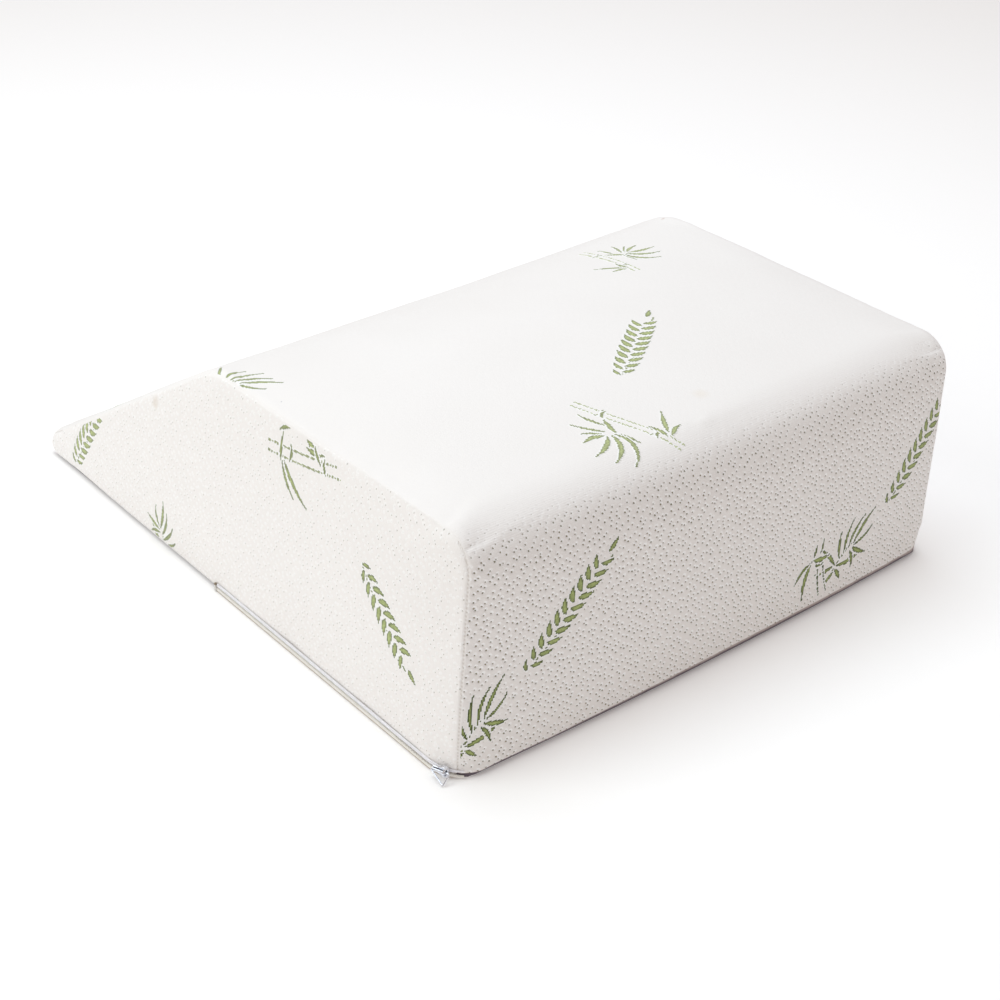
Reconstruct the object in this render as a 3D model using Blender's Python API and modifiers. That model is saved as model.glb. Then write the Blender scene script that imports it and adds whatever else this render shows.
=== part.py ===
"""Wedge pillow: a foam block in a sewn knit cover, with a level top, a long slope and a zip at the foot.

Metres, +Z up. +X runs from the toe to the tall back and -Y is the side with the zip. The origin is on the
flat base, midway across it, and midway between the back and the point where slope and base would meet.
"""

import math

import bmesh
import bpy
import numpy as np

# Driving dimensions of the filled pillow
DEPTH = 0.626
WIDTH = 0.502
HEIGHT = 0.200
TOP_DEPTH = 0.321

# Roundings of the profile, seen from the side
TOE_RADIUS = 0.013
HEEL_RADIUS = 0.006
FOLD_RADIUS = 0.030
CREASE_RADIUS = 0.070

# Roundings across the seams between the wrap and the side panels
SEAM_RADIUS = 0.012
FOOT_SEAM_RADIUS = 0.005
FOOT_SEAM_HEIGHT = 0.030

# How the filling and the sewing change the plain block
TOP_CROWN = 0.0045
SIDE_CROWN = 0.003
CROWN_REACH = 0.080
BACK_BOW = 0.0057
CREASE_SAG = 0.0115
CREASE_SAG_REACH = 0.060
CREASE_SKEW = 0.0055
NEAR_SPLAY = 0.0092

# Plan radius of the upright back corners, above and at the foot, where the cover is drawn in
UPRIGHT_RADIUS = 0.008
NEAR_FOOT_RADIUS = 0.028
FAR_FOOT_RADIUS = 0.021
FOOT_DRAW_HEIGHT = 0.025

# Steps of the surface grid
TURN_STEPS = 4
ALONG_STEPS = 20
RISE_STEPS = 8
ACROSS_STEPS = 18

# Zip along the foot of the near side, round the near back corner
ZIP_START_X = 0.002
ZIP_END_Y = -0.2400
ZIP_STEP = 0.010
ZIP_CORNER_STEP = 0.004
GAP = 0.0004
TAPES = {
    "zip_tape_lower": {"low": 0.0004, "high": 0.0036, "thick": 0.0013},
    "zip_tape_upper": {"low": 0.0054, "high": 0.0078, "thick": 0.0010},
}
TAPE_TAPER = 0.013
TAPE_END_SHARE = 0.35
COIL_HEIGHT = 0.0045
COIL_RADIUS = 0.0006
STOP = {"along": 0.0022, "out": 0.0024, "up": 0.0076}
STOP_BEVEL = 0.0004

# Slider plate, the bridge on it and the pull that hangs from the bridge
SLIDER_X = 0.2965
SLIDER_MIDDLE = 0.0064
SLIDER_LENGTH = 0.0130
SLIDER_HEIGHT = 0.0084
SLIDER_THICK = 0.0023
SLIDER_BEVEL = 0.0006
SLIDER_SHOULDERS = (
    {"along": -1.0, "up": 0.6},
    {"along": -0.4, "up": 0.6},
    {"along": 0.2, "up": 1.0},
    {"along": 0.8, "up": 1.0},
    {"along": 1.0, "up": 0.7},
)
BRIDGE_RADIUS = 0.0031
BRIDGE_ALONG = 0.0045
BRIDGE_MIDDLE = 0.0068
BRIDGE_WIRE = 0.0008
BRIDGE_STEPS = 8
PULL_WIRE = 0.0007
PULL_BAR_OUT = 0.0012
PULL_CORNERS = {
    "left": {"along": -0.0075, "out": 0.0, "height": 0.0072},
    "right": {"along": 0.0085, "out": 0.0, "height": 0.0076},
    "tip": {"along": 0.0070, "out": 0.0066, "height": 0.0009},
}
PULL_CORNER_SHARE = 0.16
PULL_CORNER_STEPS = 4
TUBE_RESOLUTION = 2
BEVEL_SEGMENTS = 2
WELD_DISTANCE = 1e-6

HALF_DEPTH = DEPTH / 2
HALF_WIDTH = WIDTH / 2
CREASE_X = HALF_DEPTH - TOP_DEPTH
SEAM_TURN = math.pi / 4

PROFILE = {
    "toe": {"at": (-HALF_DEPTH, 0.0), "radius": TOE_RADIUS},
    "heel": {"at": (HALF_DEPTH, 0.0), "radius": HEEL_RADIUS},
    "fold": {"at": (HALF_DEPTH, HEIGHT), "radius": FOLD_RADIUS},
    "crease": {"at": (CREASE_X, HEIGHT), "radius": CREASE_RADIUS},
}
ROUND_THE_PROFILE = ("toe", "heel", "fold", "crease")


def empty_scene():
    for thing in list(bpy.data.objects):
        bpy.data.objects.remove(thing, do_unlink=True)


def material(name, colour, roughness, metallic=0.0):
    made = bpy.data.materials.new(name)
    made.use_nodes = True
    shader = made.node_tree.nodes["Principled BSDF"]
    shader.inputs["Base Color"].default_value = (*colour, 1.0)
    shader.inputs["Roughness"].default_value = roughness
    shader.inputs["Metallic"].default_value = metallic
    return made


def add_object(name, mesh, collection, finish):
    thing = bpy.data.objects.new(name, mesh)
    thing.data.materials.append(finish)
    collection.objects.link(thing)
    return thing


def unit(vector):
    return vector / np.linalg.norm(vector)


def corner_arc(name):
    """The fillet of a profile corner: its centre, its radius, the way to the corner and half its turn."""
    place = ROUND_THE_PROFILE.index(name)
    here, before, after = (
        np.array(PROFILE[ROUND_THE_PROFILE[(place + step) % 4]]["at"]) for step in (0, -1, 1)
    )
    to_before, to_after = unit(before - here), unit(after - here)
    half_angle = math.acos(float(to_before @ to_after)) / 2
    radius = PROFILE[name]["radius"]
    inward = unit(to_before + to_after)
    return {
        "centre": here + inward * radius / math.sin(half_angle),
        "radius": radius,
        "outward": -inward,
        "half_turn": math.pi / 2 - half_angle,
    }


def half_arc(name, towards):
    """Points and normals from the middle of a corner's fillet to where it meets the straight edge."""
    arc = corner_arc(name)
    beside = unit(towards - (towards @ arc["outward"]) * arc["outward"])
    angles = np.linspace(0, arc["half_turn"], TURN_STEPS + 1)
    normals = np.outer(np.cos(angles), arc["outward"]) + np.outer(np.sin(angles), beside)
    return arc["centre"] + normals * arc["radius"], normals


def profile_edge(start, end, straight_steps):
    """One edge of the rounded profile, from the middle of one corner to the middle of the next."""
    a, b = (np.array(PROFILE[name]["at"]) for name in (start, end))
    way = unit(b - a)
    first, first_normals = half_arc(start, way)
    last, last_normals = half_arc(end, -way)
    share = np.linspace(0, 1, straight_steps + 1)[1:-1, None]
    middle = first[-1] * (1 - share) + last[-1] * share
    points = np.concatenate([first, middle, last[::-1]])
    normals = np.concatenate(
        [first_normals, np.repeat(first_normals[-1:], len(middle), 0), last_normals[::-1]]
    )
    return points, normals


def smooth(share):
    share = np.clip(share, 0, 1)
    return share * share * (3 - 2 * share)


def seam_radius(height):
    """The rounding across a seam, small at the foot and full above it."""
    return FOOT_SEAM_RADIUS + (SEAM_RADIUS - FOOT_SEAM_RADIUS) * smooth(height / FOOT_SEAM_HEIGHT)


def wrap_strip(points, normals):
    """A strip of the wrap: each profile point at every station across the width, near to far."""
    radius = seam_radius(points[:, 1])[:, None]
    turns = SEAM_TURN * np.linspace(1, 0, TURN_STEPS + 1)
    from_side = radius * (1 - np.sin(turns))
    inset = radius * (1 - np.cos(turns))
    share = np.linspace(0, 1, ACROSS_STEPS + 1)[1:-1]
    flat_half = HALF_WIDTH - radius
    middle = flat_half * (2 * share - 1)
    across = np.concatenate([from_side - HALF_WIDTH, middle, HALF_WIDTH - from_side[:, ::-1]], axis=1)
    none = np.zeros((len(points), len(share)))
    inset = np.concatenate([inset, none, inset[:, ::-1]], axis=1)
    flat = points[:, None, :] - normals[:, None, :] * inset[:, :, None]
    return np.stack([flat[..., 0], across, flat[..., 1]], axis=-1)


def panel_depth(from_seam, radius):
    """How far a side panel lies inside its plane: the seam's rounding, less the panel's own crown."""
    a = radius * (1 - math.cos(SEAM_TURN)) + from_seam
    rounding = radius - np.sqrt(np.maximum(radius**2 - np.maximum(radius - a, 0) ** 2, 0))
    crown = SIDE_CROWN * (1 - (1 - np.clip(from_seam / CROWN_REACH, 0, 1)) ** 2)
    return rounding - crown


def nearest_on_ring(points, ring):
    """The distance from each point to a closed ring of points, and the height there."""
    start, step = ring, np.roll(ring, -1, axis=0) - ring
    share = np.einsum("pij,ij->pi", points[:, None, :] - start, step) / np.einsum("ij,ij->i", step, step)
    foot = start + np.clip(share, 0, 1)[..., None] * step
    distance = np.linalg.norm(points[:, None, :] - foot, axis=2)
    nearest = distance.argmin(axis=1)
    rows = np.arange(len(points))
    return distance[rows, nearest], foot[rows, nearest, 1]


def side_panel(base, top, slope, back):
    """A side panel inside its seam: a blend of its four edges, set in by its depth."""
    ring = np.concatenate([base[:-1], back[:-1], top[:0:-1], slope[:0:-1]])
    u = sum(np.linspace(0, 1, len(base)) + spacing(edge) for edge in (base, top))[:, None, None] / 4
    v = sum(np.linspace(0, 1, len(back)) + spacing(edge) for edge in (slope, back))[None, :, None] / 4
    corners = (1 - u) * ((1 - v) * base[0] + v * top[0]) + u * ((1 - v) * base[-1] + v * top[-1])
    edges = (1 - v) * base[:, None] + v * top[:, None] + (1 - u) * slope[None] + u * back[None]
    flat = edges - corners
    distance, height = nearest_on_ring(flat.reshape(-1, 2), ring)
    depth = panel_depth(distance, seam_radius(height)).reshape(flat.shape[:2])
    return flat, depth


def spacing(edge):
    """Where the points of an edge lie along it, from 0 to 1."""
    steps = np.linalg.norm(np.diff(edge, axis=0), axis=1)
    return np.concatenate([[0], np.cumsum(steps)]) / steps.sum()


def draw_in_corners(points):
    """Rounds the upright back corners, and draws them in where the cover meets the base."""
    x, y, z = points.T
    near = y < 0
    foot = np.where(near, NEAR_FOOT_RADIUS, FAR_FOOT_RADIUS)
    radius = UPRIGHT_RADIUS + (foot - UPRIGHT_RADIUS) * np.exp(-((z / FOOT_DRAW_HEIGHT) ** 2))
    past_x = np.maximum(x - (HALF_DEPTH - radius), 0)
    past_y = np.maximum(np.abs(y) - (HALF_WIDTH - radius), 0)
    reach = np.hypot(past_x, past_y)
    shrink = np.where(reach > radius, radius / np.maximum(reach, radius), 1.0)
    both = (past_x > 0) & (past_y > 0)
    shrink = np.where(both, shrink, 1.0)
    x = np.where(both, HALF_DEPTH - radius + past_x * shrink, x)
    y = np.where(both, np.sign(y) * (HALF_WIDTH - radius + past_y * shrink), y)
    return np.stack([x, y, z], axis=1)


def settle(points):
    """Crowns, bows and leans the plain rounded block, as its filling and its weight do."""
    x, y, z = draw_in_corners(points).T
    rise = z / HEIGHT
    across = y / HALF_WIDTH
    along = (x + HALF_DEPTH) / DEPTH
    over_top = np.clip((x - CREASE_X) / TOP_DEPTH, 0, 1)
    middle = 1 - across**2
    crown = TOP_CROWN * middle * np.sin(math.pi * over_top) * rise
    sag = CREASE_SAG * middle * np.exp(-(((x - CREASE_X) / CREASE_SAG_REACH) ** 2)) * rise
    skew = CREASE_SKEW * across * rise * (1 - over_top)
    new_x = x + BACK_BOW * middle * along**2 - skew
    new_y = y - NEAR_SPLAY * (1 - rise) * np.maximum(-across, 0) * along
    return np.stack([new_x, new_y, z + crown - sag], axis=1)


def pillow_grid():
    """The settled place of each vertex of the surface grid, keyed by its steps along, across and up."""
    edges = {
        "base": profile_edge("toe", "heel", ALONG_STEPS),
        "top": profile_edge("crease", "fold", ALONG_STEPS),
        "slope": profile_edge("toe", "crease", RISE_STEPS),
        "back": profile_edge("heel", "fold", RISE_STEPS),
    }
    strips = {name: wrap_strip(*edge) for name, edge in edges.items()}
    last_i, last_k = (len(edges[name][0]) - 1 for name in ("base", "back"))
    last_j = strips["base"].shape[1] - 1
    places = {}
    for i in range(last_i + 1):
        for j in range(last_j + 1):
            places[i, j, 0] = strips["base"][i, j]
            places[i, j, last_k] = strips["top"][i, j]
    for k in range(last_k + 1):
        for j in range(last_j + 1):
            places[0, j, k] = strips["slope"][k, j]
            places[last_i, j, k] = strips["back"][k, j]
    seam = {name: strip[:, 0][:, [0, 2]] for name, strip in strips.items()}
    flat, depth = side_panel(seam["base"], seam["top"], seam["slope"], seam["back"])
    for i in range(1, last_i):
        for k in range(1, last_k):
            x, z = flat[i, k]
            y = HALF_WIDTH - depth[i, k]
            places[i, 0, k] = np.array([x, -y, z])
            places[i, last_j, k] = np.array([x, y, z])
    settled = settle(np.array(list(places.values())))
    return dict(zip(places, settled, strict=True)), (last_i, last_j, last_k)


def pillow_mesh():
    """A subdivided box whose vertices move to the places of the surface grid."""
    places, steps = pillow_grid()
    bm = bmesh.new()
    bmesh.ops.create_cube(bm, size=1)
    for vertex in bm.verts:
        vertex.co = [(c + 0.5) * n for c, n in zip(vertex.co, steps, strict=True)]
    for axis, count in enumerate(steps):
        others = [a for a in range(3) if a != axis]
        lines = [
            e for e in bm.edges if all(abs(e.verts[0].co[a] - e.verts[1].co[a]) < 0.5 for a in others)
        ]
        bmesh.ops.subdivide_edges(bm, edges=lines, cuts=count - 1, use_grid_fill=True)
    for vertex in bm.verts:
        vertex.co = places[tuple(round(c) for c in vertex.co)]
    bmesh.ops.triangulate(bm, faces=bm.faces)
    bmesh.ops.recalc_face_normals(bm, faces=bm.faces)
    mesh = bpy.data.meshes.new("pillow")
    bm.to_mesh(mesh)
    bm.free()
    mesh.shade_smooth()
    return mesh


def foot_path(height):
    """The plan of the foot at a height, from the zip's start, along the near side and round the corner."""
    y_side = panel_depth(np.array([height]), np.array([FOOT_SEAM_RADIUS]))[0] - HALF_WIDTH
    turn_x = HALF_DEPTH - NEAR_FOOT_RADIUS
    turn_y = NEAR_FOOT_RADIUS - HALF_WIDTH
    straight = np.linspace(ZIP_START_X, turn_x, round((turn_x - ZIP_START_X) / ZIP_STEP) + 1)
    steps = round(NEAR_FOOT_RADIUS / ZIP_CORNER_STEP)
    to_corner = np.linspace(turn_x, HALF_DEPTH, steps + 1)[1:]
    from_corner = np.linspace(y_side, turn_y, steps + 1)[1:]
    plan = [(x, y_side) for x in [*straight, *to_corner]]
    plan += [(HALF_DEPTH, y) for y in from_corner if y < ZIP_END_Y]
    return settle(np.column_stack([plan, np.full(len(plan), height)]))[:, :2]


def path_frame(path):
    """The way along a plan path and the way out of the pillow, at each of its points."""
    way = np.gradient(path, axis=0)
    way = way / np.linalg.norm(way, axis=1)[:, None]
    return way, np.column_stack([way[:, 1], -way[:, 0]])


def outside(path, distance):
    return path + path_frame(path)[1] * distance


def at_x(path, x):
    """The point of a foot path at x on the near side, with the way along and the way out there."""
    way, out = path_frame(path)
    rows = path[:, 0] < HALF_DEPTH - ZIP_CORNER_STEP
    near = [np.interp(x, path[rows, 0], column[rows]) for column in (path[:, 1], *way.T, *out.T)]
    return np.array([x, near[0]]), unit(np.array(near[1:3])), unit(np.array(near[3:]))


def curve_object(name, points, collection, finish, dimensions="3D", cyclic=False):
    curve = bpy.data.curves.new(name, "CURVE")
    curve.dimensions = dimensions
    spline = curve.splines.new("POLY")
    spline.points.add(len(points) - 1)
    for point, place in zip(spline.points, points, strict=True):
        point.co = (*place, 1)
    spline.use_cyclic_u = cyclic
    return add_object(name, curve, collection, finish)


def tube(name, points, radius, collection, finish, cyclic=False):
    thing = curve_object(name, points, collection, finish, cyclic=cyclic)
    thing.data.bevel_depth = radius
    thing.data.bevel_resolution = TUBE_RESOLUTION
    thing.data.use_fill_caps = not cyclic
    return thing


def tape(name, collection, finish):
    """A strip of zip tape: a ribbon that stands along the foot, narrow at its end and thickened outwards."""
    band = TAPES[name]
    line = outside(foot_path(band["high"]), GAP)
    thing = curve_object(name, [(x, y, 0) for x, y in line], collection, finish, dimensions="2D")
    thing.data.fill_mode = "NONE"
    thing.data.extrude = (band["high"] - band["low"]) / 2
    from_end = np.linalg.norm(line - line[-1], axis=1)
    taper = TAPE_END_SHARE + (1 - TAPE_END_SHARE) * smooth(from_end / TAPE_TAPER)
    thing.data.splines[0].points.foreach_set("radius", taper)
    thing.location.z = (band["high"] + band["low"]) / 2
    thick = thing.modifiers.new("thick", "SOLIDIFY")
    thick.thickness = band["thick"]
    thick.offset = -1
    return thing


def zip_coil(collection, finish):
    """The closed teeth, from the zip's start to the slider."""
    line = outside(foot_path(COIL_HEIGHT), GAP + COIL_RADIUS)
    end_x = SLIDER_X - SLIDER_LENGTH / 2 - GAP
    kept = [(x, y, COIL_HEIGHT) for x, y in line if x < end_x - COIL_RADIUS and y < 0]
    end, _, _ = at_x(line, end_x)
    return tube("zip_coil", [*kept, (*end, COIL_HEIGHT)], COIL_RADIUS, collection, finish)


def meshed(curve_thing, collection):
    """The same object as a welded mesh, so that it can be bevelled, cut or joined."""
    graph = bpy.context.evaluated_depsgraph_get()
    mesh = bpy.data.meshes.new_from_object(curve_thing.evaluated_get(graph))
    bm = bmesh.new()
    bm.from_mesh(mesh)
    bmesh.ops.remove_doubles(bm, verts=bm.verts, dist=WELD_DISTANCE)
    bm.to_mesh(mesh)
    bm.free()
    name, place = curve_thing.name, curve_thing.matrix_world.copy()
    bpy.data.objects.remove(curve_thing, do_unlink=True)
    thing = bpy.data.objects.new(name, mesh)
    collection.objects.link(thing)
    thing.matrix_world = place
    return thing


def mesh_object(name, bm, collection, finish):
    mesh = bpy.data.meshes.new(name)
    bm.to_mesh(mesh)
    bm.free()
    return add_object(name, mesh, collection, finish)


def bevel(thing, width):
    modifier = thing.modifiers.new("edges", "BEVEL")
    modifier.width = width
    modifier.segments = BEVEL_SEGMENTS


def zip_stop(collection, finish):
    """The bar across the tapes where the zip starts."""
    path = foot_path(TAPES["zip_tape_upper"]["high"])
    way, out = (vectors[0] for vectors in path_frame(path))
    centre = path[0] - way * (STOP["along"] / 2 + GAP) + out * (GAP + STOP["out"] / 2)
    bm = bmesh.new()
    bmesh.ops.create_cube(bm, size=1)
    bmesh.ops.scale(bm, vec=(STOP["along"], STOP["out"], STOP["up"]), verts=bm.verts)
    thing = mesh_object("zip_stop", bm, collection, finish)
    thing.location = (*centre, GAP + STOP["up"] / 2)
    thing.rotation_euler.z = math.atan2(way[1], way[0])
    bevel(thing, STOP_BEVEL)
    return thing


def slider_frame():
    """The middle of the slider's plate, on its outer face, with the way along it and the way out."""
    place, way, out = at_x(foot_path(TAPES["zip_tape_upper"]["high"]), SLIDER_X)
    return place + out * (2 * GAP + TAPES["zip_tape_lower"]["thick"] + SLIDER_THICK), way, out


def zip_slider(collection, finish):
    """The slider's plate, with shoulders that narrow to its nose, and the bridge that holds the pull."""
    face, way, out = slider_frame()
    end, half = SLIDER_LENGTH / 2, SLIDER_HEIGHT / 2
    upper = [(end * corner["along"], half * corner["up"]) for corner in SLIDER_SHOULDERS]
    outline = upper + [(along, -up) for along, up in reversed(upper)]
    plate = curve_object(
        "zip_slider", [(*p, 0) for p in outline], collection, finish, dimensions="2D", cyclic=True
    )
    plate.data.fill_mode = "BOTH"
    plate.data.extrude = SLIDER_THICK / 2
    plate.location = (*(face - out * SLIDER_THICK / 2), SLIDER_MIDDLE)
    plate.rotation_euler = (math.pi / 2, 0, math.atan2(way[1], way[0]))
    plate = meshed(plate, collection)
    bevel(plate, SLIDER_BEVEL)
    union = plate.modifiers.new("bridge", "BOOLEAN")
    union.operation = "UNION"
    union.object = slider_bridge(face + way * BRIDGE_ALONG, out, finish)
    return plate


def slider_bridge(middle, out, finish):
    """The arch on the plate, its feet sunk in the plate that it is joined to."""
    guides = bpy.data.collections.new("guides")
    bpy.context.scene.collection.children.link(guides)
    arch = []
    for angle in np.linspace(0, math.pi, BRIDGE_STEPS + 1):
        height = BRIDGE_RADIUS * math.sin(angle)
        arch.append((*(middle + out * height), BRIDGE_MIDDLE + BRIDGE_RADIUS * math.cos(angle)))
    feet = [(*(middle - out * BRIDGE_WIRE), z) for z in (arch[0][2], arch[-1][2])]
    points = [feet[0], *arch, feet[1]]
    bridge = meshed(tube("bridge", points, BRIDGE_WIRE, guides, finish), guides)
    bridge.hide_render = True
    bridge.display_type = "WIRE"
    return bridge


def zip_pull(collection, finish):
    """The pull: a bent wire triangle whose long bar passes under the bridge and whose tip is on the floor."""
    face, way, out = slider_frame()
    corners = []
    for corner in PULL_CORNERS.values():
        x, y = face + way * corner["along"] + out * (PULL_BAR_OUT + corner["out"])
        corners.append(np.array([x, y, corner["height"]]))
    points = []
    for k, corner in enumerate(corners):
        before, after = corners[k - 1], corners[(k + 1) % len(corners)]
        start = corner + (before - corner) * PULL_CORNER_SHARE
        end = corner + (after - corner) * PULL_CORNER_SHARE
        for t in np.linspace(0, 1, PULL_CORNER_STEPS + 1):
            points.append(start * (1 - t) ** 2 + corner * 2 * t * (1 - t) + end * t**2)
    return tube("zip_pull", points, PULL_WIRE, collection, finish, cyclic=True)


def build():
    empty_scene()
    collection = bpy.data.collections.new("wedge_pillow")
    bpy.context.scene.collection.children.link(collection)
    knit = material("knit", (0.86, 0.85, 0.83), 0.9)
    cream_tape = material("cream_tape", (0.85, 0.83, 0.78), 0.8)
    white_tape = material("white_tape", (0.82, 0.84, 0.90), 0.7)
    teeth = material("teeth", (0.80, 0.80, 0.78), 0.4)
    metal = material("metal", (0.62, 0.62, 0.63), 0.3, metallic=1.0)
    add_object("pillow", pillow_mesh(), collection, knit)
    tape("zip_tape_lower", collection, cream_tape)
    tape("zip_tape_upper", collection, white_tape)
    zip_coil(collection, teeth)
    zip_stop(collection, metal)
    zip_slider(collection, metal)
    zip_pull(collection, metal)


build()
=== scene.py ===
"""The looks of the wedge pillow: its quilted knit cover with leaf sprigs, its seams and its zip.

Metres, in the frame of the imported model: +X from the toe to the tall back, -Y the side with the zip, +Z up.
"""

import math

import bpy
import numpy as np
from mathutils import Matrix, Vector, noise
from mathutils.bvhtree import BVHTree
from mathutils.geometry import barycentric_transform


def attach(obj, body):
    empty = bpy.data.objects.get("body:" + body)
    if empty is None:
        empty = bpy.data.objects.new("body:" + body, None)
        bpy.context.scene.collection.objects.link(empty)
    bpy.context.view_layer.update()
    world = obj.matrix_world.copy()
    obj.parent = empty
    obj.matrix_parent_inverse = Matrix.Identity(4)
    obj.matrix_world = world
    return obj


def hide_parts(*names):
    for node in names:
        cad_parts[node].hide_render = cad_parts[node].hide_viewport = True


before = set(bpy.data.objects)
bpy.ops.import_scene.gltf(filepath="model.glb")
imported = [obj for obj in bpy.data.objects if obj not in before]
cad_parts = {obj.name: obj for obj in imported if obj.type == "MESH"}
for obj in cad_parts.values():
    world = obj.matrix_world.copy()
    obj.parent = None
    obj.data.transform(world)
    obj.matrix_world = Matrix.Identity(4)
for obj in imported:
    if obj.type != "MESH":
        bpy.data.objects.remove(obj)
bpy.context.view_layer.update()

# The filled pillow, with the same driving dimensions as its solid
DEPTH = 0.626
WIDTH = 0.502
HEIGHT = 0.200
TOP_DEPTH = 0.321
TOE_RADIUS = 0.013
HEEL_RADIUS = 0.006
FOLD_RADIUS = 0.030
CREASE_RADIUS = 0.070
SEAM_RADIUS = 0.012
FOOT_SEAM_RADIUS = 0.005
FOOT_SEAM_HEIGHT = 0.030
TOP_CROWN = 0.0045
SIDE_CROWN = 0.003
CROWN_REACH = 0.080
BACK_BOW = 0.0057
CREASE_SAG = 0.0115
CREASE_SAG_REACH = 0.060
CREASE_SKEW = 0.0055
NEAR_SPLAY = 0.0092
UPRIGHT_RADIUS = 0.008
NEAR_FOOT_RADIUS = 0.028
FAR_FOOT_RADIUS = 0.021
FOOT_DRAW_HEIGHT = 0.025

# Half the steps of the surface grid, closer together towards the seams and folds
TURN_STEPS = 4
ALONG_STEPS = 63
RISE_STEPS = 38
ACROSS_STEPS = 55
CLOSER_AT_SEAMS = 1.5

# Where each panel of the cover lies when its cloth is spread out on one sheet
WRAP_AT = (0.0, 0.30)
NEAR_AT = (0.33, 0.60)
FAR_AT = (0.33, 0.90)
BASE_AT = (0.33, 1.50)

HALF_DEPTH = DEPTH / 2
HALF_WIDTH = WIDTH / 2
CREASE_X = HALF_DEPTH - TOP_DEPTH
SEAM_TURN = math.pi / 4
PROFILE = {
    "toe": {"at": (-HALF_DEPTH, 0.0), "radius": TOE_RADIUS},
    "heel": {"at": (HALF_DEPTH, 0.0), "radius": HEEL_RADIUS},
    "fold": {"at": (HALF_DEPTH, HEIGHT), "radius": FOLD_RADIUS},
    "crease": {"at": (CREASE_X, HEIGHT), "radius": CREASE_RADIUS},
}
ROUND_THE_PROFILE = ("toe", "heel", "fold", "crease")


def unit(vector):
    return vector / np.linalg.norm(vector)


def smooth(share):
    share = np.clip(share, 0, 1)
    return share * share * (3 - 2 * share)


# The surface grid of the cover


def half_arc(name, towards, steps):
    """Points and normals from the middle of a corner's fillet to where it meets the straight edge."""
    place = ROUND_THE_PROFILE.index(name)
    here, before, after = (
        np.array(PROFILE[ROUND_THE_PROFILE[(place + step) % 4]]["at"]) for step in (0, -1, 1)
    )
    to_before, to_after = unit(before - here), unit(after - here)
    half_angle = math.acos(float(to_before @ to_after)) / 2
    radius = PROFILE[name]["radius"]
    outward = -unit(to_before + to_after)
    centre = here - outward * radius / math.sin(half_angle)
    beside = unit(towards - (towards @ outward) * outward)
    angles = (math.pi / 2 - half_angle) * np.linspace(0, 1, steps + 1) ** CLOSER_AT_SEAMS
    normals = np.outer(np.cos(angles), outward) + np.outer(np.sin(angles), beside)
    return centre + normals * radius, normals


def profile_edge(start, end, straight_steps, turn_steps):
    """One edge of the rounded profile, from the middle of one corner to the middle of the next."""
    a, b = (np.array(PROFILE[name]["at"]) for name in (start, end))
    way = unit(b - a)
    first, first_normals = half_arc(start, way, turn_steps)
    last, last_normals = half_arc(end, -way, turn_steps)
    share = np.linspace(0, 1, straight_steps + 1)[1:-1, None]
    middle = first[-1] * (1 - share) + last[-1] * share
    points = np.concatenate([first, middle, last[::-1]])
    straight = np.repeat(first_normals[-1:], len(middle), 0)
    return points, np.concatenate([first_normals, straight, last_normals[::-1]])


def seam_radius(height):
    """The rounding across a seam, small at the foot and full above it."""
    return FOOT_SEAM_RADIUS + (SEAM_RADIUS - FOOT_SEAM_RADIUS) * smooth(height / FOOT_SEAM_HEIGHT)


def wrap_strip(points, normals, across_steps, turn_steps):
    """A strip of the wrap, near to far: its places, and how far across the cloth each one is."""
    radius = seam_radius(points[:, 1])[:, None]
    turns = SEAM_TURN * (1 - np.linspace(0, 1, turn_steps + 1) ** CLOSER_AT_SEAMS)
    from_side = radius * (1 - np.sin(turns))
    inset = radius * (1 - np.cos(turns))
    share = np.linspace(0, 1, across_steps + 1)[1:-1]
    flat_half = HALF_WIDTH - radius
    middle = flat_half * (2 * share - 1)
    across = np.concatenate([from_side - HALF_WIDTH, middle, HALF_WIDTH - from_side[:, ::-1]], axis=1)
    none = np.zeros((len(points), len(share)))
    inset = np.concatenate([inset, none, inset[:, ::-1]], axis=1)
    bent = flat_half + radius * turns
    cloth = np.concatenate([-bent, middle, bent[:, ::-1]], axis=1)
    flat = points[:, None, :] - normals[:, None, :] * inset[:, :, None]
    return np.stack([flat[..., 0], across, flat[..., 1]], axis=-1), cloth


def panel_depth(from_seam, radius):
    """How far a side panel lies inside its plane: the seam's rounding, less the panel's own crown."""
    a = radius * (1 - math.cos(SEAM_TURN)) + from_seam
    rounding = radius - np.sqrt(np.maximum(radius**2 - np.maximum(radius - a, 0) ** 2, 0))
    crown = SIDE_CROWN * (1 - (1 - np.clip(from_seam / CROWN_REACH, 0, 1)) ** 2)
    return rounding - crown


def nearest_on_ring(points, ring):
    """The distance from each point to a closed ring of points, and the height there."""
    start, step = ring, np.roll(ring, -1, axis=0) - ring
    distance = np.full(len(points), np.inf)
    height = np.zeros(len(points))
    for a, b in zip(start, step, strict=True):
        share = np.clip((points - a) @ b / (b @ b), 0, 1)[:, None]
        foot = a + share * b
        away = np.linalg.norm(points - foot, axis=1)
        closer = away < distance
        distance[closer] = away[closer]
        height[closer] = foot[closer, 1]
    return distance, height


def spacing(edge):
    """Where the points of an edge lie along it, from 0 to 1."""
    steps = np.linalg.norm(np.diff(edge, axis=0), axis=1)
    return np.concatenate([[0], np.cumsum(steps)]) / steps.sum()


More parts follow.
